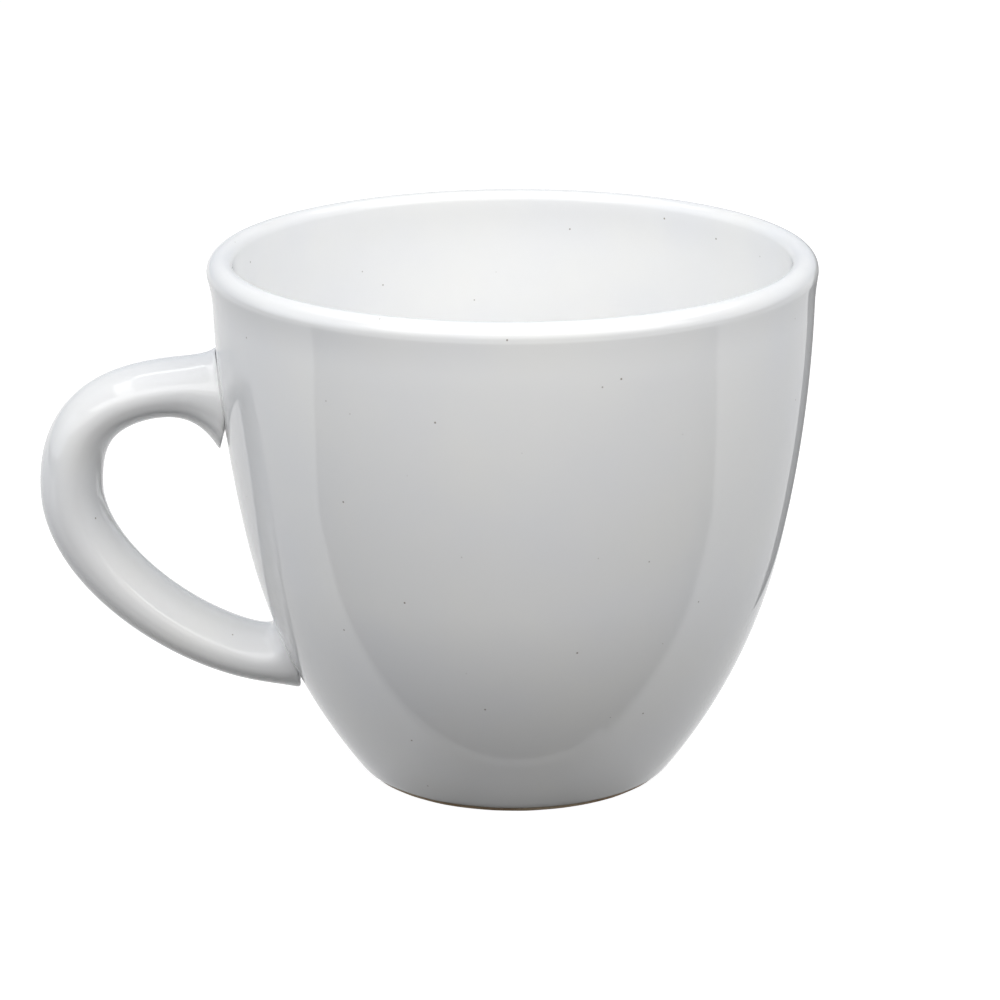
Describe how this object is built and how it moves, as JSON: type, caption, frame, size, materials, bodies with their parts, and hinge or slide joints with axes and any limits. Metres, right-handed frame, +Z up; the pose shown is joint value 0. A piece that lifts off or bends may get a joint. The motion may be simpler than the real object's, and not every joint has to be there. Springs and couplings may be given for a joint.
{
  "type": "espresso mug",
  "caption": "Small white glazed espresso mug: a tapering round bowl with a rolled rim, an oval loop handle luted to its side and a bare clay foot ring.",
  "frame": {"origin": "on the axis of the cup, in the plane of the table that the foot ring stands on", "axes": "+Z up along the axis of the cup, handle towards -X, Y across the handle"},
  "size_m": [0.0833, 0.0646, 0.057],
  "materials": {
    "clay": "bare fired stoneware clay, matt",
    "white_glaze": "glossy white glaze",
    "slip": "fired clay slip, pale, filmed over with glaze at its edge"
  },
  "bodies": {
    "root": {"cup_body": "clay", "body_glaze": "white_glaze", "base_glaze": "white_glaze", "upper_slip": "slip", "lower_slip": "slip", "handle": "clay", "handle_glaze": "white_glaze"}
  },
  "joints": []
}
